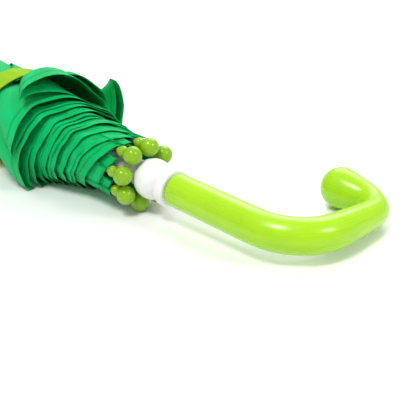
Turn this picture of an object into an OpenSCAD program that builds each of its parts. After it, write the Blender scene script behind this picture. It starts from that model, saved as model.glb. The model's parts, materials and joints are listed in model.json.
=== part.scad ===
/* [Shaft] */
// Outer radius of the shaft tube
shaft_r = 4; // [3.5:0.1:4.5]
// Wall of the shaft tube
shaft_wall = 0.6; // [0.4:0.1:1]
// Distance from the notch pivots to the mouth of the handle
notch_back = 470; // [465:1:480]
// How far the tube runs on into the handle
shaft_in_handle = 42; // [30:1:46]

/* [Frame] */
// Number of ribs and of fabric panels
ribs = 8; // [8]
// Length of a rib, from its pivot to the centre of its ball tip
rib_l = 445; // [440:1:448]
// Radius of the ring of rib pivots in the notch
pivot_r = 6; // [6:0.1:6.4]
// Angle between a rib and the shaft when the umbrella is shut
rib_shut = 1.2; // [1.1:0.05:1.4]
// Angle between a rib and the shaft when the umbrella is open
rib_open = 68; // [60:1:70]
// Distance along a rib from its pivot to the stretcher rivet
rivet_at = 190; // [180:1:200]
// How far the rivet lies inside the line of the rib
rivet_in = 2.3; // [2.1:0.1:2.5]
// Length of a stretcher between its two pivots
stretcher_l = 215; // [210:1:218]
// Width of a rib channel
rib_w = 3; // [2.8:0.1:3.2]
// Radius of a ball tip
ball_r = 5; // [4:0.25:5.25]
// Turn of the first rib about the shaft, away from the top
phase = -12; // [-20:1:0]

/* [Runner] */
// Radius of the thumb bulb
bulb_r = 11; // [10:0.25:11.25]
// Radius of the flange that meets the handle
flange_r = 10.5; // [9:0.25:11]
// Outer radius of the sleeve
sleeve_r = 6.3; // [6:0.1:6.4]

/* [Handle] */
// Radius of the grip
grip_r = 9; // [8:0.25:10]
// Straight length of the grip before the hook
grip_l = 56; // [50:1:60]
// Centre-line radius of the first bend of the hook
bend1 = 27; // [24:1:30]
// Straight length across the hook
cross_l = 26; // [20:1:32]
// Centre-line radius of the second bend
bend2 = 16; // [14:1:20]
// Straight length before the bulb at the tip
return_l = 14; // [10:1:18]
// Radius of the thin part of the hook
neck_r = 6.6; // [6:0.1:7.5]
// Radius of the bulb at the tip
tip_r = 11; // [9:0.25:12]

/* [Canopy] */
// Largest radius of the rolled canopy
roll_r = 31; // [28:0.5:34]
// Thickness of the rolled fabric
roll_t = 5; // [4:0.25:6]
// How far the roll flattens where it lies on the floor
roll_flat = 0.8; // [0.5:0.1:1.2]
// Panel that carries the tie strap
strap_panel = 7; // [1:8]
// Width of the tie strap
strap_w = 18; // [12:1:24]

/* [Hidden] */
SMALL = 24;
ROUND = 48;
FINE = 96;
step = 360 / ribs;
notch_x = -notch_back;

// The runner's pivots are where the stretchers end, shut and open.
crown_r = 7.6;
function rivet_x(a) = notch_x + rivet_at * cos(a) + rivet_in * sin(a);
function rivet_r(a) = pivot_r + rivet_at * sin(a) - rivet_in * cos(a);
function crown_x(a) = rivet_x(a) + sqrt(pow(stretcher_l, 2) - pow(rivet_r(a) - crown_r, 2));
crown_shut = crown_x(rib_shut);
travel = crown_shut - crown_x(rib_open);
stretcher_tilt = asin((rivet_r(rib_shut) - crown_r) / stretcher_l);

// The umbrella lies on the floor on its roll, its lowest ball tip and the bulb of its hook.
roll_x = -210;
hook_x = grip_l + bend1;
tip_x = notch_x + rib_l * cos(rib_shut);
bulb_x = hook_x - bend2 - return_l;
hook_y = bend1 + cross_l + bend2;
roll_low = roll_r - roll_flat;
function ball_low(t) = (pivot_r + rib_l * sin(rib_shut)) * cos(phase - t) + ball_r;
function pitch_for(t) = atan((roll_low - ball_low(t)) / (tip_x - roll_x));
function lift_for(p) = roll_low * cos(p) + roll_x * sin(p);
function tilt_for(p) = asin((lift_for(p) - bulb_x * sin(p) - tip_r) / (hook_y * cos(p)));
pitch = pitch_for(tilt_for(pitch_for(tilt_for(pitch_for(0)))));
lift = lift_for(pitch);
tilt = tilt_for(pitch);

// The origin is under the middle of the whole umbrella.
tail_x = notch_x - 64;
tail_r = 2.6;
along = (tail_r * sin(pitch) - (tail_x + hook_x) * cos(pitch) - grip_r) / 2;
aside = (roll_r - hook_y * cos(tilt) - tip_r) / 2;

lime = [0.70, 0.86, 0.16];
steel = [0.28, 0.29, 0.30];
green = [0.05, 0.62, 0.36];

// ---- placing ----

// The umbrella's own frame has its shaft along X, with the handle's mouth at 0.
module lay() {
    translate([along, aside, lift]) rotate([0, pitch, 0]) rotate([-tilt, 0, 0]) children();
}

module rod(x0, x1, r, r2 = -1, fn = ROUND) {
    translate([x0, 0, 0]) rotate([0, 90, 0])
        cylinder(h = x1 - x0, r1 = r, r2 = r2 < 0 ? r : r2, $fn = fn);
}

// A turned piece about the shaft; each point is [radius, place along the shaft].
module turned(points, fn = FINE) {
    rotate([0, 90, 0]) rotate_extrude($fn = fn) polygon(points);
}

module pin(r, w, fn = SMALL) {
    rotate([90, 0, 0]) cylinder(h = w, r = r, center = true, $fn = fn);
}

module at_rib(i) {
    rotate([phase + step * (i - 1), 0, 0]) translate([notch_x, 0, pivot_r])
        rotate([0, -rib_shut, 0]) children();
}

module at_rivet(i) {
    at_rib(i) translate([rivet_at, 0, -rivet_in]) children();
}

// ---- handle and shaft ----

module handle() color(lime) lay() {
    bore = shaft_in_handle + 0.5;
    difference() {
        union() {
            rod(1.5, grip_l, grip_r, fn = FINE);
            rod(0, 1.5, grip_r - 1, grip_r, fn = FINE);
            translate([grip_l, bend1, 0]) rotate([0, 0, -90])
                rotate_extrude(angle = 90, $fn = FINE) translate([bend1, 0]) circle(r = grip_r, $fn = ROUND);
            translate([hook_x, bend1, 0]) rotate([-90, 0, 0])
                cylinder(h = cross_l, r1 = grip_r, r2 = neck_r, $fn = FINE);
            translate([hook_x - bend2, bend1 + cross_l, 0])
                rotate_extrude(angle = 90, $fn = FINE) translate([bend2, 0]) circle(r = neck_r, $fn = ROUND);
            translate([hook_x - bend2, hook_y, 0]) rotate([0, -90, 0])
                cylinder(h = return_l, r1 = neck_r, r2 = neck_r + 1.6, $fn = FINE);
            translate([hook_x - bend2 - return_l, hook_y, 0])
                sphere(r = tip_r, $fn = FINE);
        }
        rod(-1, bore, shaft_r);
    }
}

module catch_slot(x) {
    translate([x, 0, shaft_r]) cube([12, 1.4, 4], center = true);
}

module shaft() color(steel) lay() {
    difference() {
        rod(notch_x - 40, shaft_in_handle, shaft_r);
        rod(notch_x - 41, shaft_in_handle + 1, shaft_r - shaft_wall);
        catch_slot(top_catch_x);
        catch_slot(bottom_catch_x);
    }
}

// The runner comes to a stop here, just past the open position.
module shaft_stop() color(steel) lay() {
    stop_x = crown_from - 2 - travel - 1;
    difference() {
        rod(stop_x - 6, stop_x, shaft_r + 0.9);
        rod(stop_x - 7, stop_x + 1, shaft_r);
    }
}

// ---- catches ----

top_catch_x = -travel + 7.5;
bottom_catch_x = -46;
catch_proud = 0.9;

// A bent spring plate whose nose stands out of the tube and whose leg lies inside it.
module catch_plate() {
    rotate([90, 0, 0]) linear_extrude(height = 1, center = true)
        polygon([[-5.2, 1.2], [5.2, 1.2], [5.2, shaft_r - 0.6], [4.6, shaft_r + catch_proud],
                 [-4.6, shaft_r - 0.3], [-5.2, shaft_r - 0.6]]);
}

module top_catch() color(steel) lay() translate([top_catch_x, 0, 0]) mirror([1, 0, 0]) catch_plate();

module bottom_catch() color(steel) lay() translate([bottom_catch_x, 0, 0]) catch_plate();

// ---- head of the umbrella ----

module ferrule() color([0.92, 0.92, 0.90]) lay()
    turned([[shaft_r, notch_x - 16], [6, notch_x - 16], [4.9, notch_x - 22], [4.6, notch_x - 42],
            [3.6, notch_x - 44], [3.6, tail_x + 2], [tail_r, tail_x], [0, tail_x],
            [0, notch_x - 40], [shaft_r, notch_x - 40]]);

module top_cap() color(lime) lay()
    turned([[shaft_r, notch_x - 8], [10.5, notch_x - 8], [10.5, notch_x - 9.5], [8.6, notch_x - 14],
            [6.2, notch_x - 16], [shaft_r, notch_x - 16]]);

module wire_ring(r) {
    translate([notch_x, 0, 0]) rotate([0, 90, 0])
        rotate_extrude($fn = FINE) translate([pivot_r, 0]) circle(r = r, $fn = SMALL);
}

module notch() color([0.92, 0.92, 0.90]) lay() {
    difference() {
        rod(notch_x - 8, notch_x + 4, 8.8, fn = FINE);
        rod(notch_x - 9, notch_x + 5, shaft_r);
        for (i = [1:ribs]) rotate([phase + step * (i - 1), 0, 0])
            translate([notch_x - 3, -0.9, pivot_r - 1.4]) cube([8, 1.8, 6]);
        wire_ring(0.5);
    }
}

module notch_wire() color(steel) lay() wire_ring(0.42);

// ---- runner ----

spigot_r = 5.1;
crown_from = crown_shut - 6;
crown_to = crown_shut + 5;

module keyway(x0, x1) {
    translate([x0, -1.1, 0]) cube([x1 - x0, 2.2, shaft_r + catch_proud + 0.3]);
}

module runner_grip() color([0.93, 0.93, 0.92]) lay() {
    difference() {
        union() {
            rod(crown_from - 2, crown_to, spigot_r);
            rod(crown_to, -20, sleeve_r, fn = FINE);
            turned([[0, -31], [sleeve_r, -31], [sleeve_r + 0.6, -30], [sleeve_r + 0.6, -27],
                    for (a = [-150:15:-40]) [7 + (bulb_r - 7) * -sin(a), -17.5 + 8.6 * cos(a)],
                    [7, -9], [flange_r - 0.6, -8.2], [flange_r, -7.4], [flange_r, -1.6],
                    [flange_r - 0.8, -0.6], [0, -0.6]]);
        }
        rod(crown_from - 3, 1, shaft_r + 0.08);
        keyway(crown_from - 3, 1);
    }
}

module runner_crown() color([0.93, 0.93, 0.92]) lay() {
    difference() {
        rod(crown_from, crown_to, 9.2, fn = FINE);
        rod(crown_from - 1, crown_to + 1, spigot_r);
        for (i = [1:ribs]) rotate([phase + step * (i - 1), 0, 0])
            translate([crown_from - 1, -1.1, crown_r - 1.25]) cube([crown_to - crown_from + 2, 2.2, 6]);
        keyway(crown_from - 1, crown_to + 1);
    }
}

// ---- ribs, rivets, tips and stretchers ----

module rib(i) color(steel) lay() at_rib(i) {
    wall = 0.4;
    difference() {
        union() {
            pin(1.2, 1.4);
            translate([0, -0.7, -0.9]) cube([9, 1.4, 1.8]);
            difference() {
                translate([8, -rib_w / 2, -1.2]) cube([rib_l - 20, rib_w, 2.4]);
                translate([9, wall - rib_w / 2, -2]) cube([rib_l, rib_w - 2 * wall, 2.7]);
            }
            rod(rib_l - 14, rib_l, 1, fn = SMALL);
            for (side = [-1, 1]) translate([rivet_at, side * (rib_w - wall) / 2, 0]) {
                translate([-1.4, -wall / 2, -rivet_in]) cube([2.8, wall, rivet_in]);
                translate([0, 0, -rivet_in]) pin(1.4, wall);
            }
        }
        pin(0.55, 4);
        translate([rivet_at, 0, -rivet_in]) pin(0.55, 5);
    }
}

module rivet(i) color(steel) lay() at_rivet(i) {
    pin(0.55, rib_w);
    for (side = [-1, 1]) translate([0, side * (rib_w + 0.4) / 2, 0]) pin(0.95, 0.4);
}

module tip(i) color(lime) lay() at_rib(i) {
    turned(concat([[1, rib_l], [1, rib_l - 11]],
                  [for (a = [-60:20:40]) [3.1 * cos(a), rib_l - 8 + 3.1 * sin(a)]],
                  [for (a = [-60:10:90]) [ball_r * cos(a), rib_l + ball_r * sin(a)]],
                  [[0, rib_l]]), fn = ROUND);
}

module stretcher(i) color(steel) lay() at_rivet(i) rotate([0, rib_shut + stretcher_tilt, 0]) {
    difference() {
        union() {
            pin(1.1, 1.5);
            translate([0, -0.75, -0.8]) cube([stretcher_l, 1.5, 1.6]);
            translate([stretcher_l, 0, 0]) pin(0.95, 1.5);
        }
        pin(0.65, 4);
    }
}

// ---- canopy ----

gap = 1.6;
hem_x = -56;
crown_end = notch_x + 62;
function rib_line(x) = pivot_r + (x - notch_x) * tan(rib_shut);
ROLL = [[crown_end, 13.5], [-310, 25], [roll_x, roll_r], [-120, 25.2], [hem_x, 21]];
function inner(p) = [max(p[1] - roll_t, rib_line(p[0]) + 4.3), p[0]];
module sector(points, from, sweep) {
    rotate([from - 180, 0, 0]) rotate([0, 90, 0]) rotate_extrude(angle = sweep, $fn = FINE) polygon(points);
}

// A panel's rolled bulk; the floor flattens whichever panel lies under the roll.
module gore(i) color(green) difference() {
    lay() sector(concat([for (p = ROLL) [p[1], p[0]]], [for (k = [len(ROLL) - 1:-1:0]) inner(ROLL[k])]),
                 phase + step * (i - 1) + gap / 2, step - gap);
    if (i == ribs / 2 + 1) translate([along + crown_end, aside - roll_r, -5])
        cube([hem_x - crown_end, 2 * roll_r, 5]);
}

strap_x = -157;
strap_from = phase + step * (strap_panel - 1);
function roll_at(x) = lookup(x, ROLL);

module strap() color(lime) lay()
    sector([[roll_at(strap_x) + 0.1, strap_x], [roll_at(strap_x) + 0.9, strap_x],
            [roll_at(strap_x + strap_w) + 0.9, strap_x + strap_w],
            [roll_at(strap_x + strap_w) + 0.1, strap_x + strap_w]], strap_from + 3, step - 6);

module strap_button() color(lime) lay() {
    x = strap_x + strap_w / 2;
    rotate([strap_from + step / 2, 0, 0]) translate([x, 0, roll_at(x) + 1.4]) cylinder(h = 1.6, r = 5, $fn = ROUND);
}

// ---- drawing ----

handle();
shaft();
ferrule();
top_cap();
notch();
notch_wire();
shaft_stop();
top_catch();
bottom_catch();
runner_grip();
runner_crown();
strap();
strap_button();
for (i = [1:ribs]) {
    rib(i);
    rivet(i);
    tip(i);
    stretcher(i);
    gore(i);
}
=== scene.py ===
import json
import math

import bpy
import numpy as np
from mathutils import Matrix, Vector


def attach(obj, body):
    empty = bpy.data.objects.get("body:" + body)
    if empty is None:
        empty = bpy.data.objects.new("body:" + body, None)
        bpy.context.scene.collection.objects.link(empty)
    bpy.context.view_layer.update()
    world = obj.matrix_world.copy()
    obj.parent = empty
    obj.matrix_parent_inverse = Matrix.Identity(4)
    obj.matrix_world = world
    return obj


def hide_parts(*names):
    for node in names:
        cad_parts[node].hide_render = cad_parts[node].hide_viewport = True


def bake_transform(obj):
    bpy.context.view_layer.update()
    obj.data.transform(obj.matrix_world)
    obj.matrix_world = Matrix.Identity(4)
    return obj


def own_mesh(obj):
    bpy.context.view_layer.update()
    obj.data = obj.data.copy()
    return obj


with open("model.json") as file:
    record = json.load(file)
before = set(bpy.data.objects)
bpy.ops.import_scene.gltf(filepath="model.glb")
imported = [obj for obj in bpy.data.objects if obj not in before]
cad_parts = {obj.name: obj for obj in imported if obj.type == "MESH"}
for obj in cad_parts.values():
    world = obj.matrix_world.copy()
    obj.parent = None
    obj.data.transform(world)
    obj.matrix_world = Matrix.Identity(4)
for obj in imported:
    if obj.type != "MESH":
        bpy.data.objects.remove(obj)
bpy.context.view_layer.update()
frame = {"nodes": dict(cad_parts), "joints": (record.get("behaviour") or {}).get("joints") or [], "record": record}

# ---- sizes, in metres ----
# Places along the umbrella are measured from the ring of rib pivots towards the handle.
PANELS = 8
STEP = 2 * math.pi / PANELS
NOTCH_BACK = 0.470  # from the rib pivots to the handle's mouth
NOTCH_R = 0.0088
NOTCH_FROM, NOTCH_TO = -0.0079, 0.0045
RIB_L = 0.445
RIB_SHUT = math.radians(1.2)
BALL_R, KNOB_R = 0.0051, 0.0032

# The hook's centre line, from its mouth to its bulb, and its thickness.
GRIP_L, BEND_1, CROSS, BEND_2, BACK = 0.056, 0.027, 0.026, 0.016, 0.014
GRIP_R, NECK_R, BULB_R = 0.009, 0.0066, 0.011
BULB_END = 0.995 * BULB_R  # the line stops just short of the bulb's skin
LIP = 0.0016

# The runner, measured back from the handle's mouth.
RUNNER_L = 0.073
BORE_R, SPIGOT_R, SLEEVE_R, FLANGE_R = 0.0041, 0.0051, 0.0063, 0.0105
THUMB_AT, THUMB_R = -0.0175, 0.0111

# The canopy. Across a panel's half, s is 0 at a rib and 1 at the middle, where the panel is folded.
TIP_AT = 0.437  # where the cloth ends along a rib
HALF_APEX = math.radians(20.78)  # half of a panel's angle at the crown
SEAM_EXCESS = 0.165  # how much longer a flat panel is at its seams than at its middle
SCALLOP = 0.010
CLOTH_FROM = 0.002
OFF_RIB = 0.0016  # from a rib's line to the cloth on it
TURNED_ROWS = 5  # rows of faces in the hem's turned edge
HEM_BAND = 0.016  # the reach of the hem and its stitching in the cloth's shader
THREAD = 0.0007
SAG = 0.012

# The strap.
STRAP_AT = 0.322
STRAP_PANEL = 7
STRAP_L, STRAP_W = 0.21, 0.017
STRAP_HALF_THICK = 0.0005
STRAP_LAP = 0.25  # how far each end reaches past the button, as an angle
STRAP_SLANT = 0.004


# ---- the umbrella's own axes, from the joints ----
JOINTS = {j["name"]: j for j in frame["joints"]}
ALONG = -np.array(JOINTS["runner_slide"]["axis"])
MOUNTS = {m["name"]: m for m in frame["record"]["mounts"]}
UP = np.array(MOUNTS["hook"]["axis"], float)
SIDE = np.cross(UP, ALONG)
PIVOTS = [np.array(JOINTS["rib_%d_hinge" % (i + 1)]["pos_m"]) for i in range(PANELS)]
HEAD = sum(PIVOTS) / PANELS
PIVOT_R = float(np.linalg.norm(PIVOTS[0] - HEAD))
PHASE = math.atan2(-(PIVOTS[0] - HEAD) @ SIDE, (PIVOTS[0] - HEAD) @ UP)
MOUTH = HEAD + ALONG * NOTCH_BACK
BUTTON_AT = PHASE + STEP * (STRAP_PANEL - 0.5)


def round_shaft(x, a, r, origin=HEAD):
    """Points at distance x along the shaft, angle a round it (0 on top) and radius r."""
    x, a, r = np.broadcast_arrays(x, a, r)
    spin = -np.sin(a)[..., None] * SIDE + np.cos(a)[..., None] * UP
    return origin + x[..., None] * ALONG + r[..., None] * spin


def rib_line(x):
    """The radius at which the ribs lie when the umbrella is shut."""
    return PIVOT_R + x * math.tan(RIB_SHUT)


def shut_rib(i, turn=0.0):
    """The direction of rib i at rest, or the same turned outwards in the rib's own plane."""
    a = PHASE + STEP * i
    radial = -math.sin(a) * SIDE + math.cos(a) * UP
    return math.cos(RIB_SHUT + turn) * ALONG + math.sin(RIB_SHUT + turn) * radial


def smooth(x, low, high):
    """Rises from 0 at low to 1 at high, without a corner."""
    t = np.clip((x - low) / (high - low), 0, 1)
    return t * t * (3 - 2 * t)


# ---- meshes ----

def run_along(line):
    """The length of a line up to each of its points."""
    return np.concatenate([[0], np.cumsum(np.linalg.norm(np.diff(line, axis=0), axis=1))])


def grid_mesh(name, points, uv=None, closed=False, material=None, ends=None):
    """A quad mesh over a grid of points; closed joins the last column to the first.

    The first and last rows are left open, filled in ("cap") or joined through the middle ("bore").
    """
    rows, cols = points.shape[:2]
    index = np.arange(rows * cols).reshape(rows, cols)
    grid = np.hstack([index, index[:, :1]]) if closed else index
    if ends == "bore":
        grid = np.vstack([grid, grid[:1]])
    quads = np.stack([grid[:-1, :-1], grid[:-1, 1:], grid[1:, 1:], grid[1:, :-1]], -1).reshape(-1, 4)
    caps = [index[0, ::-1], index[-1]] if ends == "cap" else []
    mesh = bpy.data.meshes.new(name)
    mesh.from_pydata(points.reshape(-1, 3).tolist(), [], quads.tolist() + [cap.tolist() for cap in caps])
    if uv is not None:
        corners = np.concatenate([quads.ravel()] + caps)
        layer = mesh.uv_layers.new(name="surface")
        layer.data.foreach_set("uv", uv.reshape(-1, 2)[corners].ravel().astype(np.float32))
    mesh.polygons.foreach_set("use_smooth", [True] * len(mesh.polygons))
    mesh.update()
    obj = bpy.data.objects.new(name, mesh)
    bpy.context.scene.collection.objects.link(obj)
    if material:
        mesh.materials.append(material)
    return obj


def lathe(name, outline, origin, axis, material, around=96, dense=12, ends="cap"):
    """Turns an outline of (place along the axis, radius) about the axis, with its corners rounded."""
    pts = np.array(outline, float)
    keys = run_along(pts)
    fine = np.linspace(0, keys[-1], dense * len(pts))
    curve = np.stack([np.interp(fine, keys, pts[:, k]) for k in (0, 1)], 1)
    kernel = np.hanning(dense + 3)[1:-1]
    kernel /= kernel.sum()
    pad = len(kernel) // 2
    for k in (0, 1):
        padded = np.concatenate([np.full(pad, curve[0, k]), curve[:, k], np.full(pad, curve[-1, k])])
        curve[:, k] = np.convolve(padded, kernel, "same")[pad:-pad]
    curve[0], curve[-1] = pts[0], pts[-1]
    axis = np.array(axis) / np.linalg.norm(axis)
    across = np.cross(axis, [0, 1, 0])
    across /= np.linalg.norm(across)
    other = np.cross(axis, across)
    a = np.linspace(0, 2 * math.pi, around, endpoint=False)
    ring = np.cos(a)[:, None] * across + np.sin(a)[:, None] * other
    points = origin + curve[:, :1, None] * axis + curve[:, 1:, None] * ring
    return grid_mesh(name, points, closed=True, material=material, ends=ends)


def arc(centre, radius, start, stop, count):
    """Points on an arc, from one angle in degrees to another."""
    t = np.radians(np.linspace(start, stop, count))
    return [(centre[0] + radius * math.cos(a), centre[1] + radius * math.sin(a)) for a in t]


# ---- materials ----

class Shader:
    """A material's node tree with a Principled shader, and short calls to add nodes."""

    def __init__(self, name, color, roughness):
        self.material = bpy.data.materials.new(name)
        self.material.use_nodes = True
        self.tree = self.material.node_tree
        self.out = self.tree.nodes["Principled BSDF"]
        self.out.inputs["Base Color"].default_value = (*color, 1)
        self.out.inputs["Roughness"].default_value = roughness

    def set(self, **values):
        for key, value in values.items():
            self.out.inputs[key.replace("_", " ")].default_value = value
        return self

    def node(self, kind, links=None, **settings):
        n = self.tree.nodes.new(kind)
        for key, value in settings.items():
            if key in n.inputs:
                n.inputs[key].default_value = value
            else:
                setattr(n, key, value)
        for key, source in (links or {}).items():
            self.tree.links.new(source, n.inputs[key])
        return n

    def link(self, source, target):
        self.tree.links.new(source, self.out.inputs[target])

    def ramp(self, source, stops):
        n = self.node("ShaderNodeValToRGB", {"Fac": source})
        ends = n.color_ramp.elements
        while len(ends) < len(stops):
            ends.new(0.5)
        for e, (at, color) in zip(ends, stops):
            e.position = at
            e.color = (*color, 1) if len(color) == 3 else color
        return n.outputs["Color"]

    def bump(self, height, strength, distance, normal=None):
        n = self.node("ShaderNodeBump", {"Height": height}, Strength=strength, Distance=distance)
        if normal:
            self.tree.links.new(normal, n.inputs["Normal"])
        return n.outputs["Normal"]


def glossy_plastic(name, color, deep, coat_roughness, drawn=False):
    """Coloured moulding. A drawn one has faint polishing lines along its length."""
    s = Shader(name, color, 0.26).set(Coat_Weight=0.25, Coat_Roughness=coat_roughness)
    s.set(Specular_IOR_Level=0.4)
    s.set(Subsurface_Weight=0.12, Subsurface_Scale=0.004, Subsurface_Radius=(1.0, 1.0, 0.25))
    where = s.node("ShaderNodeTexCoord").outputs["Object"]
    cloud = s.node("ShaderNodeTexNoise", {"Vector": where}, Scale=60.0, Detail=3.0)
    s.link(s.ramp(cloud.outputs["Fac"], [(0.3, color), (0.75, deep)]), "Base Color")
    smear = s.node("ShaderNodeTexNoise", {"Vector": where}, Scale=260.0, Detail=4.0)
    if drawn:
        at = s.node("ShaderNodeUVMap", uv_map="surface").outputs["UV"]
        long = s.node("ShaderNodeMapping", {"Vector": at})
        long.inputs["Scale"].default_value = (9, 700, 1)
        smear = s.node("ShaderNodeTexNoise", {"Vector": long.outputs[0]}, Scale=1.0, Detail=3.0)
    s.link(s.ramp(smear.outputs["Fac"], [(0.35, (0.20,) * 3), (0.75, (0.36,) * 3)]), "Roughness")
    ripple = s.node("ShaderNodeTexNoise", {"Vector": where}, Scale=90.0, Detail=1.0)
    s.link(s.bump(ripple.outputs["Fac"], 0.05, 0.0006), "Normal")
    return s.material


def satin_plastic(name, color):
    """Moulded plastic with a fine grain."""
    s = Shader(name, color, 0.32).set(Subsurface_Weight=0.15, Subsurface_Scale=0.003, Coat_Weight=0.15)
    where = s.node("ShaderNodeTexCoord").outputs["Object"]
    grain = s.node("ShaderNodeTexNoise", {"Vector": where}, Scale=900.0, Detail=3.0)
    s.link(s.ramp(grain.outputs["Fac"], [(0.3, (0.27,) * 3), (0.8, (0.40,) * 3)]), "Roughness")
    s.link(s.bump(grain.outputs["Fac"], 0.1, 0.0002), "Normal")
    return s.material


def enamelled_steel(name, color):
    """Dark coated wire and channel, a little worn."""
    s = Shader(name, color, 0.35).set(Metallic=0.75)
    where = s.node("ShaderNodeTexCoord").outputs["Object"]
    wear = s.node("ShaderNodeTexNoise", {"Vector": where}, Scale=400.0, Detail=5.0)
    s.link(s.ramp(wear.outputs["Fac"], [(0.3, (0.28,) * 3), (0.75, (0.5,) * 3)]), "Roughness")
    s.link(s.bump(wear.outputs["Fac"], 0.15, 0.0002), "Normal")
    return s.material


def woven(name, light, dark, hem=True):
    """Plain-weave polyester, with painted shade: darker in the hollows of its creases. U and V are metres on the
    flat cloth, and V is 0 at the hem.
    """
    s = Shader(name, light, 0.52).set(Sheen_Weight=0.03, Sheen_Roughness=0.35, Specular_IOR_Level=0.12)
    s.set(Sheen_Tint=(0.55, 1.0, 0.7, 1))
    at = s.node("ShaderNodeUVMap", uv_map="surface").outputs["UV"]
    split = s.node("ShaderNodeSeparateXYZ", {"Vector": at})
    threads = []
    for axis in ("X", "Y"):
        turn = s.node("ShaderNodeMath", {0: split.outputs[axis]}, operation="MULTIPLY")
        turn.inputs[1].default_value = 2 * math.pi / THREAD
        threads.append(s.node("ShaderNodeMath", {0: turn.outputs[0]}, operation="SINE").outputs[0])
    weave = s.node("ShaderNodeMath", {0: threads[0], 1: threads[1]}, operation="MULTIPLY").outputs[0]
    stretched = s.node("ShaderNodeMapping", {"Vector": at})
    stretched.inputs["Scale"].default_value = (60, 14, 1)
    crease = s.node("ShaderNodeTexNoise", {"Vector": stretched.outputs[0]}, Scale=1.0, Detail=5.0)
    soft = s.node("ShaderNodeMapping", {"Vector": at})
    soft.inputs["Scale"].default_value = (400, 400, 1)
    fuzz = s.node("ShaderNodeTexNoise", {"Vector": soft.outputs[0]}, Scale=1.0, Detail=2.0)
    # Painted shade: the colour goes from the light tone on the creases' crests to the dark one in their hollows.
    tone_with_painted_shade = s.ramp(crease.outputs["Fac"], [(0.35, dark), (0.65, light)])
    normal = s.bump(crease.outputs["Fac"], 0.75, 0.0035)
    normal = s.bump(fuzz.outputs["Fac"], 0.2, 0.0002, normal)
    normal = s.bump(weave, 0.35, 0.00012, normal)
    if hem:
        near = s.node("ShaderNodeMath", {0: split.outputs["Y"]}, operation="MULTIPLY")
        near.inputs[1].default_value = 1 / HEM_BAND
        seam = s.ramp(near.outputs[0], [(0.0, (0.75,) * 3), (0.03, (1,) * 3), (0.30, (1,) * 3),
                                        (0.34, (0.5,) * 3), (0.38, (0.5,) * 3), (0.44, (1,) * 3)])
        normal = s.bump(seam, 1.0, 0.0005, normal)
        mix = s.node("ShaderNodeMix", {6: tone_with_painted_shade, 7: seam}, data_type="RGBA", blend_type="MULTIPLY")
        mix.inputs[0].default_value = 0.55
        tone_with_painted_shade = mix.outputs[2]
    s.link(tone_with_painted_shade, "Base Color")
    s.link(normal, "Normal")
    return s.material


LIME = glossy_plastic("lime_gloss", (0.39, 0.71, 0.003), (0.34, 0.66, 0.002), 0.18, drawn=True)
LIME_TIP = glossy_plastic("lime_tip", (0.26, 0.50, 0.0005), (0.20, 0.42, 0.0005), 0.03)
WHITE = satin_plastic("white_satin", (0.83, 0.84, 0.82))
STEEL = enamelled_steel("dark_steel", (0.16, 0.165, 0.17))
# The second colour of each cloth is painted shade for the hollows of its creases.
GREEN = woven("emerald_polyester", (0.001, 0.54, 0.155), (0.001, 0.40, 0.10))
TAPE = woven("lime_tape", (0.29, 0.54, 0.004), (0.24, 0.46, 0.003), hem=False)


def dress_cad():
    looks = {"top_cap": LIME, "ferrule": WHITE, "notch": WHITE, "runner_crown": WHITE}
    for name, node in frame["nodes"].items():
        node.data.materials.clear()
        node.data.materials.append(looks.get(name, STEEL))


# ---- handle ----

def hook_line():
    """The hook's centre line, as places along the shaft and to its side."""
    turn_x, turn_y = GRIP_L + BEND_1 - BEND_2, BEND_1 + CROSS
    flat = [(x, 0.0) for x in np.linspace(0, GRIP_L, 60)]
    flat += arc((GRIP_L, BEND_1), BEND_1, -90, 0, 60)[1:]
    flat += [(GRIP_L + BEND_1, BEND_1 + y) for y in np.linspace(0, CROSS, 30)][1:]
    flat += arc((turn_x, turn_y), BEND_2, 0, 90, 50)[1:]
    flat += [(turn_x - x, turn_y + BEND_2) for x in np.linspace(0, BACK + BULB_END, 60)][1:]
    line = np.array(flat)
    for _ in range(60):  # eases the steps in curvature between the arcs
        line[1:-1] = (line[:-2] + 2 * line[1:-1] + line[2:]) / 4
    return line


def hook_radius(run):
    """Eases from the grip to the neck and out to the bulb. The mouth's edge is rounded."""
    second_bend = GRIP_L + BEND_1 * 1.57 + CROSS
    thin = smooth(run, GRIP_L + 0.030, second_bend + 0.018)
    radius = GRIP_R + (NECK_R - GRIP_R) * thin
    to_bulb = run[-1] - BULB_END - run
    ball = np.sqrt(np.clip(BULB_R ** 2 - to_bulb ** 2, 0, None))
    swell = NECK_R + (BULB_R - NECK_R) * (1 - smooth(to_bulb, -0.002, 0.026))
    radius = np.where(to_bulb > 0, np.maximum(radius, swell), ball)
    radius = np.maximum(radius, 0.00005)
    rounded = GRIP_R - LIP + np.sqrt(np.clip(LIP ** 2 - (LIP - run) ** 2, 0, None))
    return np.where(run < LIP, rounded, radius)


def handle():
    """A tube along the hook's centre line."""
    line = hook_line()
    run = run_along(line)
    tangent = np.gradient(line, axis=0)
    tangent /= np.linalg.norm(tangent, axis=1, keepdims=True)
    centre = MOUTH + line[:, :1] * ALONG + line[:, 1:] * SIDE
    across = -tangent[:, 1:] * ALONG + tangent[:, :1] * SIDE
    a = np.linspace(0, 2 * math.pi, 96, endpoint=False)
    spin = np.cos(a)[:, None] * across[:, None] + np.sin(a)[:, None] * UP
    rings = centre[:, None] + hook_radius(run)[:, None, None] * spin
    mouth = centre[:1, None] + (rings[:1] - centre[:1, None]) * 0.5
    points = np.concatenate([mouth, rings])
    along = np.concatenate([[0], run])[:, None] + 0 * a
    uv = np.stack([along, 0 * along + a * GRIP_R], -1)
    obj = grid_mesh("hook_handle", points, uv, True, LIME, ends="cap")
    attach(obj, "frame")
    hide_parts("handle")


# ---- runner and tips ----

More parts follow.
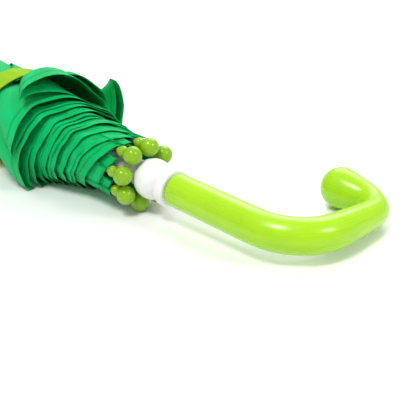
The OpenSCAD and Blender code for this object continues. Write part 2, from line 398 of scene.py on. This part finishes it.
def runner():
    """Sleeve, thumb bulb, waist and flange in one turned piece with a bore for the shaft."""
    outline = [(-RUNNER_L, BORE_R), (-RUNNER_L, SPIGOT_R), (-0.060, SPIGOT_R)]
    outline += [(-0.060, SLEEVE_R), (-0.040, SLEEVE_R), (-0.032, SLEEVE_R)]
    outline += [(-0.0305, 0.0070), (-0.0275, 0.0072)]
    outline += arc((THUMB_AT, 0.0), THUMB_R, 138, 42, 16)
    outline += [(-0.0088, 0.0078), (-0.0080, 0.0092), (-0.0072, 0.0102), (-0.0060, FLANGE_R)]
    outline += [(-0.0030, FLANGE_R), (-0.0016, 0.0102), (-0.0009, 0.0094), (-0.0007, BORE_R)]
    obj = lathe("runner", outline, MOUTH, ALONG, WHITE, ends="bore")
    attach(obj, "runner")
    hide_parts("runner_grip")


def tips():
    """A moulded ball on a neck, with a smaller knob where the cloth's corner is sewn on."""
    neck = RIB_L - 0.0055
    knob = RIB_L - 0.0080
    back = RIB_L - 0.0115
    for i in range(PANELS):
        outline = [(back, 0.0011), (back + 0.0003, 0.0020)]
        outline += arc((knob, 0.0), KNOB_R, 150, 60, 9)
        outline += [(neck, 0.0026)]
        outline += [(x, max(r, 0.00002)) for x, r in arc((RIB_L, 0.0), BALL_R, 145, 0, 22)]
        name = "ball_tip_%d" % (i + 1)
        obj = lathe(name, outline, PIVOTS[i], shut_rib(i), LIME_TIP, around=48, dense=6)
        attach(obj, "rib_%d" % (i + 1))
        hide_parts("tip_%d" % (i + 1))


# ---- canopy, rolled ----

ROLL_X = [0.0, 0.062, 0.160, 0.250, 0.300, STRAP_AT, 0.345, 0.380, 0.437]
ROLL_R = [0.0080, 0.0122, 0.0245, 0.0305, 0.0290, 0.0265, 0.0285, 0.0275, 0.0250]


def roll_radius(x):
    """The roll's outside."""
    return np.interp(x, ROLL_X, ROLL_R)


def unrest(x, s, seed, scale=1.0):
    """Smooth unevenness, as a few waves that differ from panel to panel."""
    rng = np.random.default_rng(seed)
    total = 0.0
    for _ in range(6):
        kx, ks, p = rng.uniform(-60, 60), rng.uniform(-9, 9), rng.uniform(0, 6.28)
        total = total + np.sin(kx * x + ks * s + p)
    return total * scale / 6


def shared_waves(x, a):
    """Broad waves in the roll that all its layers follow."""
    return 0.0018 * unrest(x, 2 * np.cos(a), 7)


def hem_at(s):
    """Where the hem lies along the shaft."""
    corner = 0.009 * (1 - np.exp(-(s / 0.12) ** 2)) * np.exp(-s / 0.3)
    uneven = 0.003 * s * unrest(0 * s, 1.3 * s, 60)
    return TIP_AT / (1 + SEAM_EXCESS * s) - SCALLOP * 4 * s * (1 - s) - corner + uneven


# How far each panel's loose fold stands away from the roll, near the hem.
LOOSE = {0: 0.010, 1: 0.0135, 7: 0.0155, 2: 0.009, 3: 0.008, 4: 0.006, 5: 0.004, 6: 0.005}
# How far that fold gapes.
OPEN_FOLD = {0: 0.004, 1: 0.011, 2: 0.006, 3: 0.006, 4: 0.003, 7: 0.007}


def wound(i, x, s, upper):
    """Panel i wound evenly round the roll: the angle and radius of a place on its upper or lower layer."""
    over_notch = 0.0024 * (1 - smooth(x, NOTCH_TO, 0.016))
    seam_r = rib_line(x) + OFF_RIB + over_notch
    outer = roll_radius(x) + over_notch
    wide = x * math.tan(HALF_APEX)
    # By the crown, where a panel is narrow, it still just reaches the next rib.
    turn = np.maximum(wide / ((seam_r + outer) / 2), 1.12 * STEP)
    lead = np.minimum(STEP, 0.9 * turn)
    swirl = 1.16 * s - 0.16 * s ** 2
    travelled = np.where(upper, turn * swirl, lead + (turn - lead) * swirl)
    climbed = np.where(upper, travelled, travelled - lead * (1 - smooth(s, 0.0, 0.06)))
    a = PHASE + STEP * i + travelled + 0.03 * unrest(x, s, 40 + i) * smooth(s, 0.2, 0.8)
    r = seam_r + (outer - seam_r) / turn * climbed
    # The corner wraps round its rib's end.
    wrap = smooth(x, 0.380, 0.405) * (1 - 0.25 * smooth(x, 0.418, TIP_AT)) * np.exp(-(s / 0.055) ** 2)
    return a - wrap * 0.0100 / seam_r, r - wrap * 0.0022


def fold_gap(i, x, s):
    """The space between a pleat's two layers, which closes at the fold."""
    near_hem = 0.0016 * smooth(x, 0.30, 0.40) * (0.6 + 0.4 * math.sin(2.3 * i))
    past_strap = smooth(x, STRAP_AT + 0.01, STRAP_AT + 0.05)
    gape = OPEN_FOLD.get(i, 0.001) * smooth(s, 0.55, 0.92) * past_strap
    return (0.0006 + near_hem + gape) * np.sqrt(np.clip(1 - s ** 7, 0, 1))


def creases(i, x, s, a):
    """The roll's waves, the pleat's own waves, and the gathers at its corners."""
    slack = smooth(x, NOTCH_TO, 0.040)
    shared = shared_waves(x, a) * smooth(s, 0.0, 0.3) * slack
    own = 0.0009 * unrest(2 * x, 2 * s, 90 + i) * smooth(s, 0.05, 0.4) * slack
    fine = 0.0006 * unrest(0.6 * x, 5 * s, 20 + i) * smooth(x, 0.30, 0.42)
    rays = np.sin(38 * s / np.maximum(1.02 - x / TIP_AT, 0.05) ** 0.5 + i)
    gathers = 0.0004 * rays * smooth(x, 0.37, 0.43) * np.exp(-s / 0.12)
    return shared + own + fine + gathers


def pleat_points(i, x, s, upper):
    """The rolled panel i at x along the shaft and s across its half, on its upper or lower layer."""
    a, r = wound(i, x, s, upper)
    r = r + np.where(upper, 0.5, -0.5) * fold_gap(i, x, s) + creases(i, x, s, a)
    from_hem = np.clip(hem_at(s) - x, 0, None)
    flare = 0.0013 * np.exp(-from_hem / 0.012) * smooth(s, 0.1, 0.5)
    past_strap = smooth(x, STRAP_AT + 0.006, STRAP_AT + 0.045)
    loose = LOOSE[i] * smooth(s, 0.62, 1.0) ** 1.4 * past_strap
    return a - 7 * loose, r + flare + loose


def pleat(i):
    """A panel as a double flap: from its rib to the fold and back to the next rib, wound round the roll."""
    across = np.linspace(0, 1, 151)
    s = np.clip(1 - np.abs(2 * across - 1), 0, 1) ** 1.35
    upper = across <= 0.5
    down = 1 - (1 - np.linspace(0, 1, 110)) ** 1.6
    x = CLOTH_FROM + (hem_at(s)[None] - CLOTH_FROM) * down[:, None]
    s_grid, up_grid = np.broadcast_to(s, x.shape), np.broadcast_to(upper, x.shape)
    a, r = pleat_points(i, x, s_grid, up_grid)
    # The hem's turned edge runs back inside the pleat.
    turned = np.linspace(0.0008, 0.0055, TURNED_ROWS)[:, None]
    x_turned = hem_at(s)[None] - turned
    a_turned, r_turned = pleat_points(i, x_turned, s_grid[:TURNED_ROWS], up_grid[:TURNED_ROWS])
    r_turned = r_turned + np.where(up_grid[:TURNED_ROWS], -1, 1) * 0.0005
    x = np.concatenate([x, x_turned])
    points = round_shaft(x, np.concatenate([a, a_turned]), np.concatenate([r, r_turned]))
    # What would be below the floor lies on it, in order.
    sunk = np.clip(-points[..., 2], 0, 0.02)
    points[..., 2] = np.maximum(points[..., 2], 0.0007 + 0.02 * sunk)
    u = (np.where(upper, s, 2 - s) - 1)[None] * x * math.tan(HALF_APEX) + i * 0.4
    v_turned = np.broadcast_to(turned + 0.0075, (TURNED_ROWS, len(s)))
    v = np.concatenate([hem_at(s)[None] - x[:-TURNED_ROWS], v_turned])
    obj = grid_mesh("pleat_%d" % (i + 1), points, np.stack([u, v], -1), material=GREEN)
    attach(obj, "frame")
    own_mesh(obj)


def crown_cloth():
    """The canopy's gathered centre: a sleeve over the notch, clamped by the cap."""
    x = np.linspace(NOTCH_FROM, NOTCH_TO, 12)[:, None]
    a = np.linspace(0, 2 * math.pi, 193)[None]
    r = NOTCH_R + 0.0005 + 0.0002 * np.sin(24 * a + 300 * x)
    uv = np.stack(np.broadcast_arrays(a * NOTCH_R, 0.03 + x), -1)
    obj = grid_mesh("crown_cloth", round_shaft(x, a, r), uv, material=GREEN)
    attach(obj, "frame")


# ---- canopy, open ----

def turned_about(joint, share=1.0):
    """The turn that a hinge makes over a share of its range."""
    at = Vector(joint["pos_m"])
    turn = Matrix.Rotation(math.radians(joint["range_deg"][1]) * share, 4, Vector(joint["axis"]).normalized())
    return np.array(Matrix.Translation(at) @ turn @ Matrix.Translation(-at))


def opened_rib(i):
    """Where rib i starts and which way it points when the umbrella is open."""
    joint = JOINTS["rib_%d_hinge" % (i % PANELS + 1)]
    return np.array(joint["pos_m"]), turned_about(joint)[:3, :3] @ shut_rib(i)


def to_rest(i, share=1.0):
    """Takes a place on open panel i back to where it is at rest, at a share of the way across the panel."""
    lift = turned_about(JOINTS["rib_%d_hinge" % (i + 1)])
    return np.linalg.inv(lift @ turned_about(JOINTS["gore_%d_fan" % (i + 1)], share))


def panel(i):
    """The same panel, built as it lies when the umbrella is open and carried back to rest. Shut, it lies folded to
    nothing along its rib.
    """
    (p0, d0), (p1, d1) = opened_rib(i), opened_rib(i + 1)
    out = np.cross(d0, d1)
    out *= -np.sign(out @ ALONG) / np.linalg.norm(out)
    angle = math.acos(d0 @ d1)
    w = np.linspace(0, 1, 41)
    reach = TIP_AT * math.cos(angle / 2) / np.cos(angle * (w - 0.5)) - 1.6 * SCALLOP * np.sin(math.pi * w)
    share = np.linspace(0.007, 1, 60)[:, None]
    share = np.concatenate([share, [[0.998], [0.988]]])  # the hem's turned edge
    toward = (np.sin((1 - w) * angle)[:, None] * d0 + np.sin(w * angle)[:, None] * d1) / math.sin(angle)
    base = p0 + w[:, None] * (p1 - p0)
    sag = -SAG * np.sin(math.pi * w) * share ** 1.5
    far = base + (share * reach)[..., None] * toward + (OFF_RIB + sag)[..., None] * out
    far[-2:] -= 0.0006 * out
    points = np.empty_like(far)
    for k, weight in enumerate(w):  # each column goes back by its own share of the fan
        back = to_rest(i, weight)
        points[:, k] = far[:, k] @ back[:3, :3].T + back[:3, 3]
    u = (w - 0.5)[None] * share * reach * angle + i * 0.4
    v = np.concatenate([(1 - share[:-2]) * reach, np.full((2, len(w)), 0.0095)])
    obj = grid_mesh("panel_%d" % (i + 1), points, np.stack([u, v], -1), material=GREEN)
    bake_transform(obj)
    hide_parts("gore_%d" % (i + 1))


# ---- strap ----

def on_strap(obj):
    """Carries a piece with the strap's panel, with a mesh of its own."""
    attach(obj, "gore_%d" % STRAP_PANEL)
    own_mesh(obj)


def slant(a):
    return STRAP_SLANT * np.sin(a + 0.5)


def strap_radius(x, a):
    return roll_radius(STRAP_AT) + 0.0028 + shared_waves(x, a)


def strap():
    """A flat tape with a raised edge, once round the roll, whose ends lap over each other at the button."""
    a = np.linspace(BUTTON_AT - STRAP_LAP, BUTTON_AT + STRAP_LAP + 2 * math.pi, 160)[None]
    # The tape's section: places across its width, and how far each stands off its middle.
    edge = np.array([-0.96, -1, -1, -0.97, -0.86, -0.8, -0.3, 0.3, 0.8, 0.86, 0.97, 1, 1, 0.96])[:, None]
    depth = np.array([-0.6, -0.4, 0.6, 1.0, 1.0, 0.8, 0.9, 0.9, 0.8, 1.0, 1.0, 0.6, -0.4, -0.6])[:, None]
    x = STRAP_AT + edge * STRAP_W / 2 + slant(a)
    r = strap_radius(x, a) + depth * STRAP_HALF_THICK + 0.0010 * (a - BUTTON_AT) / 6.28
    points = round_shaft(x, a, r)
    points[..., 2] = np.maximum(points[..., 2], 0.0004)
    uv = np.stack(np.broadcast_arrays(a * 0.03, edge * STRAP_W / 2), -1)
    obj = grid_mesh("tie_strap", points, uv, material=TAPE)
    on_strap(obj)
    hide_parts("strap")


def snap_button():
    """A pressed stud with a dished face."""
    x = STRAP_AT + slant(BUTTON_AT)
    r = float(strap_radius(x, BUTTON_AT)) + 0.0014
    seat = round_shaft(x, BUTTON_AT, r)
    outline = [(-0.0004, 0.00002), (-0.0004, 0.0048), (0.0003, 0.0052), (0.0009, 0.0048), (0.0013, 0.0036),
               (0.0012, 0.0031), (0.0009, 0.0026), (0.0009, 0.00002)]
    outwards = round_shaft(x, BUTTON_AT, r + 0.01) - seat
    obj = lathe("snap_button", outline, seat, outwards, LIME_TIP, around=48, dense=6)
    on_strap(obj)
    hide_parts("strap_button")


# ---- room ----

def room():
    """A white floor, a white world and three soft lamps."""
    floor = grid_mesh("floor", np.array([[[-9, -9, 0], [9, -9, 0]], [[-9, 9, 0], [9, 9, 0]]], float))
    s = Shader("white_floor", (0.93, 0.93, 0.93), 0.35).set(Specular_IOR_Level=0.35)
    floor.data.materials.append(s.material)
    world = bpy.data.worlds.new("studio")
    bpy.context.scene.world = world
    world.use_nodes = True
    sky = world.node_tree.nodes["Background"]
    sky.inputs["Color"].default_value = (1, 1, 1, 1)
    sky.inputs["Strength"].default_value = 0.55
    lamp("key", (0.35, -0.55, 1.25), 0.38, 11.0)
    lamp("back", (-0.35, 0.9, 0.9), 0.9, 8.0)
    lamp("side", (1.2, 0.35, 0.8), 0.3, 4.5)


def lamp(name, at, size, power):
    """A square lamp aimed at the runner."""
    light = bpy.data.lights.new(name, "AREA")
    light.shape = "SQUARE"
    light.size = size
    light.energy = power
    obj = bpy.data.objects.new(name, light)
    bpy.context.scene.collection.objects.link(obj)
    obj.location = at
    aim = Vector((0.12, 0, 0.02)) - Vector(at)
    obj.rotation_euler = aim.to_track_quat("-Z", "Y").to_euler()


def camera():
    """Close to the floor on the hook's open side, looking back along the umbrella at the runner."""
    basis = np.stack([ALONG, SIDE, UP])
    stand = MOUTH + np.array([0.2766, -0.2545, 0.1651]) @ basis
    forward = np.array([-0.6393, 0.6428, -0.4220]) @ basis
    up = np.array([-0.3279, 0.2685, 0.9058]) @ basis
    right = np.cross(forward, up)
    m = Matrix.Identity(4)
    for k, v in enumerate((right, up, -forward)):
        m.col[k][:3] = v / np.linalg.norm(v)
    m.translation = Vector(stand)
    lens = bpy.data.cameras.new("camera")
    lens.sensor_width = 36
    lens.lens = 69.2
    lens.clip_start = 0.01
    obj = bpy.data.objects.new("camera", lens)
    bpy.context.scene.collection.objects.link(obj)
    obj.matrix_world = m
    bpy.context.scene.camera = obj


dress_cad()
handle()
runner()
tips()
crown_cloth()
for i in range(PANELS):
    pleat(i)
    panel(i)
strap()
snap_button()
room()
camera()
bpy.context.scene.view_settings.view_transform = "Standard"
